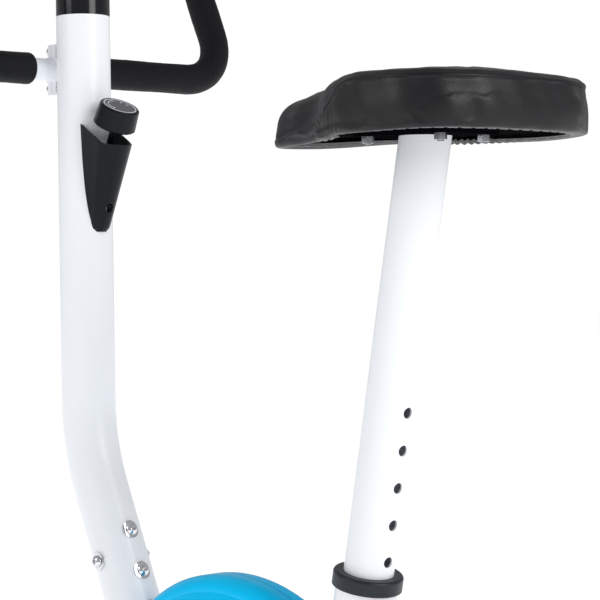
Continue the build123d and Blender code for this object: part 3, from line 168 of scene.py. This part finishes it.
# each CAD piece wears its slot's look; the saddle bracket is dull, as it faces the bright floor
slots = {entry["node"]: entry["material_slot"] for entry in frame["record"]["subparts"]}
for name, node in frame["nodes"].items():
    look = BRACKET if name == "seat_bracket" else LOOKS[slots[name]]
    node.data.materials.clear()
    node.data.materials.append(look)


def mesh_piece(name, verts, faces, body, material, smooth=True):
    """A new mesh object, shaded smooth and riding on a body."""
    data = bpy.data.meshes.new(name)
    data.from_pydata([tuple(v) for v in verts], [], faces)
    data.update()
    piece = bpy.data.objects.new(name, data)
    bpy.context.collection.objects.link(piece)
    piece.data.materials.append(material)
    for poly in data.polygons:
        poly.use_smooth = smooth
    if body:
        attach(piece, body)
    return piece


def grid_faces(rows, cols, closed=True):
    """Quads over rows of points; closed joins the last column to the first."""
    faces = []
    for r in range(rows - 1):
        for c in range(cols if closed else cols - 1):
            d = (c + 1) % cols
            faces.append((r * cols + c, r * cols + d, (r + 1) * cols + d, (r + 1) * cols + c))
    return faces


def apply_all(piece):
    """Applies every modifier on a piece."""
    graph = bpy.context.evaluated_depsgraph_get()
    data = bpy.data.meshes.new_from_object(piece.evaluated_get(graph))
    piece.modifiers.clear()
    piece.data = data


# ---- saddle -------------------------------------------------------------------
HALF = [(-134, 0), (-126, -64), (-96, -108), (-30, -120), (38, -98), (86, -54), (146, -36),
        (180, -24), (194, 0)]      # one side of the outline about the post, in mm
COLS = 320                         # columns of the skin around the outline
SIDE_ROWS = 15                     # steps up the skirt,
EDGE_ROWS = 9                      # round the edge
TOP_ROWS = 15                      # and over the panel
HEM_ROWS = 5                       # rows of the turned-under hem, up to the skirt's foot
CROWN = 0.0515                     # height of the panel over the board, at the rear
NOSE_DROP = 0.010                  # the panel is this much lower at the nose
SPINE_ENDS = (-0.05, 0.135)        # the panel's rows close on this stretch of the middle line


def outline(count):
    """Closed saddle outline in metres about the post, evenly spaced, from the rear middle."""
    pts = [Vector(p) for p in HALF + [(x, -y) for x, y in reversed(HALF[1:-1])]]
    n = len(pts)
    dense = []
    for i in range(n):
        p0, p1, p2, p3 = pts[i - 1], pts[i], pts[(i + 1) % n], pts[(i + 2) % n]
        for k in range(60):
            t = k / 60
            a = 2 * p1 + (p2 - p0) * t + (2 * p0 - 5 * p1 + 4 * p2 - p3) * t * t
            dense.append((a + (3 * p1 - p0 - 3 * p2 + p3) * t ** 3) * 0.5)
    dense = np.array(dense)
    for _ in range(40):
        dense = 0.5 * dense + 0.25 * (np.roll(dense, 1, 0) + np.roll(dense, -1, 0))
    step = np.linalg.norm(np.roll(dense, -1, 0) - dense, axis=1)
    along = np.concatenate([[0], np.cumsum(step)])
    want = np.linspace(0, along[-1], count, endpoint=False)
    wrap = np.vstack([dense, dense[:1]])
    even = np.stack([np.interp(want, along, wrap[:, k]) for k in (0, 1)], 1)
    return even / 1000, along[-1] / 1000


EDGE, ROUND = outline(COLS)
TAN = np.roll(EDGE, -1, 0) - np.roll(EDGE, 1, 0)
TAN /= np.linalg.norm(TAN, axis=1)[:, None]
OUT = np.stack([TAN[:, 1], -TAN[:, 0]], 1)
ARC = np.arange(COLS) / COLS * ROUND
ARC = np.minimum(ARC, ROUND - ARC)          # distance from the rear middle, either way


def smooth_step(x, a, b):
    t = np.clip((x - a) / (b - a), 0, 1)
    return t * t * (3 - 2 * t)


FORE = EDGE[:, 0]
NOSE = smooth_step(FORE, 0.03, 0.12)
SOFT = 0.010 + 0.016 * smooth_step(FORE, -0.03, 0.05)
TOP = CROWN - NOSE_DROP * smooth_step(FORE, 0.08, 0.19)
SPINE = np.clip(FORE, *SPINE_ENDS)
HEM = 0.0025 * smooth_step(-FORE, 0.03, 0.12) - 0.0030 * smooth_step(FORE, 0.06, 0.17)
SEAM_END = float(ARC[np.argmin(np.abs(FORE - 0.047) + (EDGE[:, 1] > 0) * 9)])


def saddle_rows():
    """Rows of the saddle's skin from the turned-under hem, up the side and over the top."""
    rows = []

    def row(inset, z):
        flat = EDGE - OUT * np.broadcast_to(inset, (COLS,))[:, None]
        rows.append(np.column_stack([flat, np.broadcast_to(z, (COLS,))]))

    row(0.019, 0.0012 + 0.3 * HEM)
    row(0.012, -0.0004 + 0.6 * HEM)
    row(0.006, -0.0016 + HEM)
    row(0.0025, -0.0018 + HEM)
    row(0.0004, -0.0004 + HEM)
    side_top = TOP - SOFT
    for k in range(1, SIDE_ROWS):
        t = k / SIDE_ROWS
        belly = 0.0026 * math.sin(math.pi * min(1, t * 1.05)) - 0.0012 * t
        row(-belly * (1 - 0.5 * NOSE), side_top * t + HEM * (1 - t))
    for k in range(EDGE_ROWS + 1):
        a = math.radians(90 * k / EDGE_ROWS)
        row(0.0008 + SOFT * (1 - math.cos(a)), side_top + SOFT * math.sin(a))
    inner = EDGE - OUT * (0.0008 + SOFT)[:, None]
    centre = np.column_stack([SPINE, np.zeros(COLS)])
    for k in range(1, TOP_ROWS):
        f = 1 - k / TOP_ROWS
        flat = centre + (inner - centre) * f
        dome = 0.0070 * (1 - f * f) * (1 - 0.55 * smooth_step(flat[:, 0], 0.05, 0.17))
        rest = TOP * f + (CROWN - NOSE_DROP * smooth_step(flat[:, 0], 0.08, 0.19)) * (1 - f)
        rows.append(np.column_stack([flat, rest + dome]))
    return rows


rows = saddle_rows()
skin = np.concatenate(rows)
faces = grid_faces(len(rows), COLS)
faces.append(tuple(range((len(rows) - 1) * COLS, len(rows) * COLS)))
saddle = mesh_piece("saddle_cover", skin + np.array(SEAT), faces, None, LOOKS["leatherette"])
MERGE = 0.0007                     # joins the crowded points along the middle line
build = bmesh.new()
build.from_mesh(saddle.data)
bmesh.ops.remove_doubles(build, verts=build.verts, dist=MERGE)
bmesh.ops.recalc_face_normals(build, faces=build.faces)
build.to_mesh(saddle.data)
build.free()

FILL_FRAMES = 20
FILL_LIMIT = 0.0016                # how far a point may move as the cover fills
# let the cover fill under a little pressure, held at the hem
start = np.array([v.co[:] for v in saddle.data.vertices])
hold = saddle.vertex_groups.new(name="hem")
hold.add([int(i) for i in np.nonzero(start[:, 2] < SEAT.z + 0.003)[0]], 1.0, "REPLACE")
cloth = saddle.modifiers.new("fill", "CLOTH")
cloth.settings.vertex_group_mass = "hem"
cloth.settings.use_pressure = True
cloth.settings.uniform_pressure_force = 4.0
cloth.settings.effector_weights.gravity = 0.0
cloth.settings.tension_stiffness = 40
cloth.settings.compression_stiffness = 40
cloth.settings.bending_stiffness = 8
cloth.settings.quality = 5
cloth.collision_settings.use_collision = False
cloth.point_cache.frame_start = 1
cloth.point_cache.frame_end = FILL_FRAMES
for number in range(1, FILL_FRAMES + 1):
    bpy.context.scene.frame_set(number)
    bpy.context.evaluated_depsgraph_get().update()
graph = bpy.context.evaluated_depsgraph_get()
done = np.array([v.co[:] for v in saddle.evaluated_get(graph).data.vertices])
saddle.modifiers.clear()
shift = done - start
far = np.linalg.norm(shift, axis=1)
cap_to = np.minimum(1.0, FILL_LIMIT / np.maximum(far, 1e-9))
shift = np.nan_to_num(shift * cap_to[:, None])
for v, s in zip(saddle.data.vertices, shift):
    v.co += Vector(s)

# the seam that parts the skirt from the top panel, dropping to the hem in front of each wing
DROP = smooth_step(ARC, SEAM_END - 0.085, SEAM_END)
FOOT_ROW = HEM_ROWS - 1            # the skirt's lowest row
LAST_ROW = FOOT_ROW + SIDE_ROWS + EDGE_ROWS - 1          # near the top of the rounded edge
seam = []
for c in range(COLS):
    if ARC[c] > SEAM_END + 0.001:
        continue
    # walk up the column to the wanted height along the skin
    column = np.array([rows[r][c] for r in range(FOOT_ROW, LAST_ROW)])
    lengths = np.concatenate([[0], np.cumsum(np.linalg.norm(np.diff(column, axis=0), axis=1))])
    target = (lengths[SIDE_ROWS - 1] + 0.30 * SOFT[c]) * (1 - DROP[c] ** 1.6)
    seam.append((c, [float(np.interp(target, lengths, column[:, k])) for k in range(3)]))
order = sorted(seam, key=lambda item: (item[0] + COLS // 2) % COLS)
seam_line = np.array([p for _, p in order]) + np.array(SEAT)

sub = saddle.modifiers.new("fine", "SUBSURF")
sub.levels = 1
sub.render_levels = 1
apply_all(saddle)
data = saddle.data
pos = np.array([v.co[:] for v in data.vertices])
nrm = np.array([v.normal[:] for v in data.vertices])
CHUNK = 2000                       # points compared with the seam at a time
gap = np.zeros(len(pos))           # each point's distance from the seam
near = np.zeros(len(pos), int)     # and the seam point that it is nearest to
for i in range(0, len(pos), CHUNK):
    away = np.linalg.norm(pos[i:i + CHUNK, None, :] - seam_line[None, :, :], axis=2)
    near[i:i + CHUNK] = away.argmin(1)
    gap[i:i + CHUNK] = away.min(1)
local = pos - np.array(SEAT)
seam_local = seam_line - np.array(SEAT)
side_of = local - seam_local[near]
panel_side = (side_of[:, 2] > 0) | ((local[:, 0] > seam_local[near][:, 0]) & (local[:, 0] > 0.02))
groove = -0.0016 * np.exp(-(gap / 0.0013) ** 2)
lip = 0.0011 * np.exp(-((gap - 0.0036) / 0.0020) ** 2) * panel_side
tuck = 0.0005 * np.exp(-((gap - 0.004) / 0.003) ** 2) * ~panel_side
# gathers: slack folds at the hem by the wing corners, and long soft waves on the skirt
turn = np.arctan2(local[:, 1], local[:, 0])
low = np.exp(-np.clip(local[:, 2], 0, 1) / 0.010)
corner = np.exp(-((local[:, 0] - 0.030) / 0.028) ** 2)
folds = 0.0011 * low * corner * np.sin(turn * 95) * (local[:, 2] < 0.03)
wave = 0.0007 * np.sin(turn * 9 + 1.3) * np.sin(local[:, 2] * 60)
wave = wave + 0.0004 * np.sin(turn * 23 + local[:, 2] * 70)
wave = wave * (local[:, 2] > 0.002) * (1 - panel_side * 0.6)
moved = pos + nrm * (groove + lip + tuck + folds + wave)[:, None]
for v, p in zip(data.vertices, moved):
    v.co = p
data.materials.append(PANEL)
for poly in data.polygons:
    poly.use_smooth = True
    votes = [panel_side[i] and gap[i] > 0.0004 for i in poly.vertices]
    poly.material_index = 1 if sum(votes) * 2 > len(votes) else 0
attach(saddle, "seat")
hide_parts("seat_cushion")

# staples that hold the hem to the board
STAPLES = 64
STAPLE_INSET = 0.0135              # from the saddle's outline
STAPLE_HALF = (0.0045, 0.0004, 0.0005)           # half length, half width, half height
verts, quads = [], []
for k in range(STAPLES):
    c = int(k * COLS / STAPLES)
    at = np.append(EDGE[c] - OUT[c] * STAPLE_INSET, -0.0002 + 0.6 * HEM[c]) + np.array(SEAT)
    t = np.append(TAN[c], 0) * STAPLE_HALF[0]
    o = np.append(OUT[c], 0) * STAPLE_HALF[1]
    z = np.array([0, 0, STAPLE_HALF[2]])
    base = len(verts)
    for a in (-1, 1):
        for b in (-1, 1):
            for h in (-1, 1):
                verts.append(at + t * a + o * b + z * h)
    quads += [tuple(base + i for i in q) for q in
              ((0, 1, 3, 2), (4, 6, 7, 5), (0, 4, 5, 1), (2, 3, 7, 6), (0, 2, 6, 4), (1, 5, 7, 3))]
mesh_piece("hem_staples", verts, quads, "seat", LOOKS["zinc"], smooth=False)


# ---- foam grips -----------------------------------------------------------------
GRIP_START = 0.041                 # the foam starts this far from the clamp's middle
BAR_HALF = 0.243                   # from the middle to the axis of a rising end
BEND = 0.064                       # radius of the bend
RISE = 0.110                       # straight foam above the bend
FOAM_R = 0.01775
START_ROUND = 0.0045               # rounded edge beside the clamp
END_ROUND = 0.009                  # rounded edge at the free end
AROUND = 56                        # points round the foam


def bar_route(sign):
    """Middle line of one grip, from beside the clamp to just over the bar's end."""
    rise = Vector((math.sin(BAR_LEAN), 0, math.cos(BAR_LEAN)))
    side = Vector((0, sign, 0))
    run = BAR_HALF - BEND - GRIP_START
    pts = [BAR + side * (GRIP_START + run * k / 60) for k in range(60)]
    hub = BAR + side * (BAR_HALF - BEND) + rise * BEND
    for a in np.linspace(0, 90, 40):
        t = math.radians(a)
        pts.append(hub + side * BEND * math.sin(t) - rise * BEND * math.cos(t))
    top = BAR + side * BAR_HALF + rise * BEND
    pts += [top + rise * (RISE * k / 50) for k in range(1, 51)]
    return pts


def end_round(distance, radius):
    """How much thinner the foam is near an end with a rounded edge."""
    if distance >= radius:
        return 0.0
    return radius - math.sqrt(max(0, radius ** 2 - (radius - distance) ** 2))


def foam_grip(name, sign):
    """One foam sleeve along the bar, with a slightly uneven skin."""
    route = bar_route(sign)
    length = [0]
    for a, b in zip(route, route[1:]):
        length.append(length[-1] + (b - a).length)
    across = Vector((math.cos(BAR_LEAN), 0, -math.sin(BAR_LEAN)))
    rng = np.random.default_rng(7 if sign > 0 else 8)
    verts = []
    for i in range(len(route)):
        a = route[max(0, i - 1)]
        b = route[min(len(route) - 1, i + 1)]
        along = (b - a).normalized()
        up = along.cross(across).normalized()
        radius = FOAM_R - end_round(length[i], START_ROUND)
        radius -= end_round(length[-1] - length[i], END_ROUND)
        for k in range(AROUND):
            t = 2 * math.pi * k / AROUND
            ripple = 0.00022 * math.sin(length[i] * 70 + 2.0 * t) + 0.00010 * rng.standard_normal()
            verts.append(route[i] + (across * math.cos(t) + up * math.sin(t)) * (radius + ripple))
    faces = grid_faces(len(route), AROUND)
    faces.append(tuple(range(AROUND)))
    last = (len(route) - 1) * AROUND
    faces.append(tuple(reversed(range(last, last + AROUND))))
    grip = mesh_piece(name, verts, faces, None, LOOKS["foam"])
    shell = bmesh.new()
    shell.from_mesh(grip.data)
    bmesh.ops.recalc_face_normals(shell, faces=shell.faces)
    shell.to_mesh(grip.data)
    shell.free()
    sub = grip.modifiers.new("fine", "SUBSURF")
    sub.levels = 1
    sub.render_levels = 1
    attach(grip, "handlebar")
    return grip


left = foam_grip("foam_left", 1)
right = foam_grip("foam_right", -1)
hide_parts("grip_left")
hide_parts("grip_right")

# ---- dial on the tension knob -------------------------------------------------------
KNOB_LEAN = math.radians(27)
KNOB_HIGH = 0.0242                 # from the knob's foot to its dial
AXIS = Vector((-math.sin(KNOB_LEAN), 0, math.cos(KNOB_LEAN)))
FACE = Vector((SX + 0.403, 0, 0.8775)) + AXIS * KNOB_HIGH
ACROSS = Vector((math.cos(KNOB_LEAN), 0, math.sin(KNOB_LEAN)))
SIDE = Vector((0, 1, 0))


def ring_band(name, inner, outer, start, stop, lift, thick, material, steps=96):
    """A flat raised arc on the dial between two angles, in degrees."""
    verts, faces = [], []
    for k in range(steps + 1):
        t = math.radians(start + (stop - start) * k / steps)
        ray = ACROSS * math.cos(t) + SIDE * math.sin(t)
        for radius, height in ((inner, lift), (inner, lift + thick), (outer, lift + thick), (outer, lift)):
            verts.append(FACE + ray * radius + AXIS * height)
    for k in range(steps):
        for j in range(4):
            a, b = k * 4 + j, k * 4 + (j + 1) % 4
            faces.append((a, b, b + 4, a + 4))
    faces.append((0, 1, 2, 3))
    end = steps * 4
    faces.append((end + 3, end + 2, end + 1, end))
    return mesh_piece(name, verts, faces, "tension_knob", material, smooth=False)


ARC_END = 118                      # degrees round the dial from its front
INK_LIFT = 0.0004
INK_THICK = 0.0004
ring_band("dial_plate", 0.0003, 0.0192, 0, 360, -0.0001, 0.0006, DIAL)
ring_band("dial_ring", 0.0172, 0.0186, 0, 360, INK_LIFT, INK_THICK, MARKS)
ring_band("dial_arc", 0.0128, 0.0138, 0, ARC_END, INK_LIFT, INK_THICK, MARKS, 48)
# each tick: its angle, inner and outer radius, and half width in degrees
TICKS = [(ARC_END, 0.0112, 0.0150, 3.0), (-38, 0.0108, 0.0128, 5), (-76, 0.0108, 0.0132, 3),
         (-76, 0.0116, 0.0124, 9)]
for index, (angle, inner, outer, half) in enumerate(TICKS):
    ring_band("dial_tick_%d" % index, inner, outer, angle - half, angle + half,
              INK_LIFT, INK_THICK, MARKS, 8)

# ---- display behind the console window ---------------------------------------------
TILT = math.radians(42)
LOOK = Vector((-math.cos(TILT), 0, math.sin(TILT)))
RIGHT = Vector((0, -1, 0))
UP = LOOK.cross(RIGHT)
TOP_LEAN = math.radians(1.1)
post_foot = Vector((SX + 0.4518, 0, 0.5224))
post_top = post_foot + Vector((math.sin(TOP_LEAN), 0, math.cos(TOP_LEAN))) * 0.52
PANE = post_top + Vector((-0.004, 0, 0.046)) + LOOK * 0.00805
BAR_WIDE = 0.0055                  # a level segment
BAR_THIN = 0.001
POST_TALL = 0.0052                 # an upright segment
HALF_WIDE = 0.0034
HALF_TALL = 0.0035
FIGURE_STEP = 0.0146
FIRST_FIGURE = -0.022
FIGURE_RAISE = 0.009
INK_DEEP = 0.0002
SEGMENTS = [(0, row * 2 * HALF_TALL, BAR_WIDE, BAR_THIN) for row in (1, 0, -1)]
SEGMENTS += [(side * HALF_WIDE, row * HALF_TALL, BAR_THIN, POST_TALL)
             for row in (1, -1) for side in (-1, 1)]
BLOCK = [(0, 3, 2, 1), (4, 5, 6, 7), (0, 1, 5, 4), (1, 2, 6, 5), (2, 3, 7, 6), (3, 0, 4, 7)]
verts, faces = [], []
# four plain seven-segment figures, all segments lit
for figure in range(4):
    for dx, dy, wide, tall in SEGMENTS:
        cx = FIRST_FIGURE + figure * FIGURE_STEP + dx
        cy = FIGURE_RAISE + dy
        base = len(verts)
        for deep in (0, INK_DEEP):
            for a, b in ((-1, -1), (1, -1), (1, 1), (-1, 1)):
                corner = RIGHT * (cx + a * wide / 2) + UP * (cy + b * tall / 2)
                verts.append(PANE + corner + LOOK * deep)
        faces += [tuple(base + i for i in quad) for quad in BLOCK]
mesh_piece("display_figures", verts, faces, "frame", INK, smooth=False)

# ---- stage, light and camera ------------------------------------------------------------
white = bpy.data.materials.new("sweep_white")
white.use_nodes = True
paper = white.node_tree.nodes["Principled BSDF"]
paper.inputs["Roughness"].default_value = 0.9
paper.inputs["Specular IOR Level"].default_value = 0.1
grainy = white.node_tree.nodes.new("ShaderNodeTexNoise")
grainy.inputs["Scale"].default_value = 3
shade = white.node_tree.nodes.new("ShaderNodeValToRGB")
shade.color_ramp.elements[0].color = (0.90, 0.90, 0.905, 1)
shade.color_ramp.elements[1].color = (0.93, 0.93, 0.93, 1)
white.node_tree.links.new(grainy.outputs["Fac"], shade.inputs["Fac"])
white.node_tree.links.new(shade.outputs["Color"], paper.inputs["Base Color"])
white.node_tree.links.new(shade.outputs["Color"], paper.inputs["Emission Color"])
paper.inputs["Emission Strength"].default_value = 0.68
FLOOR = 14.0
floor_verts = [(-FLOOR, -FLOOR, 0), (FLOOR, -FLOOR, 0), (FLOOR, FLOOR, 0), (-FLOOR, FLOOR, 0)]
floor = mesh_piece("floor", floor_verts, [(0, 1, 2, 3)], None, white, smooth=False)

# the surroundings light the bike softly, and the camera sees them as plain white
LIGHTING = 0.42
SEEN = 1.02
world = bpy.data.worlds.new("studio")
world.use_nodes = True
wnodes, wlinks = world.node_tree.nodes, world.node_tree.links
ambient = wnodes["Background"]
ambient.inputs["Color"].default_value = (1.0, 1.0, 1.0, 1)
ambient.inputs["Strength"].default_value = LIGHTING
seen = wnodes.new("ShaderNodeBackground")
seen.inputs["Color"].default_value = (1.0, 1.0, 1.0, 1)
seen.inputs["Strength"].default_value = SEEN
both = wnodes.new("ShaderNodeMixShader")
path = wnodes.new("ShaderNodeLightPath")
wlinks.new(path.outputs["Is Camera Ray"], both.inputs["Fac"])
wlinks.new(ambient.outputs["Background"], both.inputs[1])
wlinks.new(seen.outputs["Background"], both.inputs[2])
wlinks.new(both.outputs["Shader"], wnodes["World Output"].inputs["Surface"])
bpy.context.scene.world = world
bpy.context.scene.view_settings.view_transform = "Standard"


def soft_light(name, where, at, wide, high, power):
    """A white area light that faces a point."""
    lamp = bpy.data.lights.new(name, "AREA")
    lamp.shape = "RECTANGLE"
    lamp.size = wide
    lamp.size_y = high
    lamp.energy = power
    item = bpy.data.objects.new(name, lamp)
    bpy.context.collection.objects.link(item)
    item.location = where
    item.rotation_euler = (Vector(at) - Vector(where)).to_track_quat("-Z", "Y").to_euler()


soft_light("key", (-2.6, -0.3, 1.9), (0, 0, 0.75), 1.4, 1.6, 34)
soft_light("rim", (0.7, 2.4, 2.0), (0, 0, 0.7), 1.4, 1.4, 16)

lens = bpy.data.cameras.new("view")
lens.lens = 110.73
lens.sensor_width = 36
lens.clip_end = 100
camera = bpy.data.objects.new("view", lens)
bpy.context.collection.objects.link(camera)
YAW, PITCH = 0.72780, 0.03573      # radians to the right of forward, and down
MOUTH_Z = 0.430                    # height of the seat tube's mouth
BEHIND, ASIDE, ABOVE = 1.25168, 1.20037, 0.32951         # the camera's place from the mouth
camera.location = (SX - BEHIND, ASIDE, MOUTH_Z + ABOVE)
look = Vector((math.cos(YAW) * math.cos(PITCH), -math.sin(YAW) * math.cos(PITCH),
               -math.sin(PITCH)))
camera.rotation_euler = look.to_track_quat("-Z", "Y").to_euler()
bpy.context.scene.camera = camera
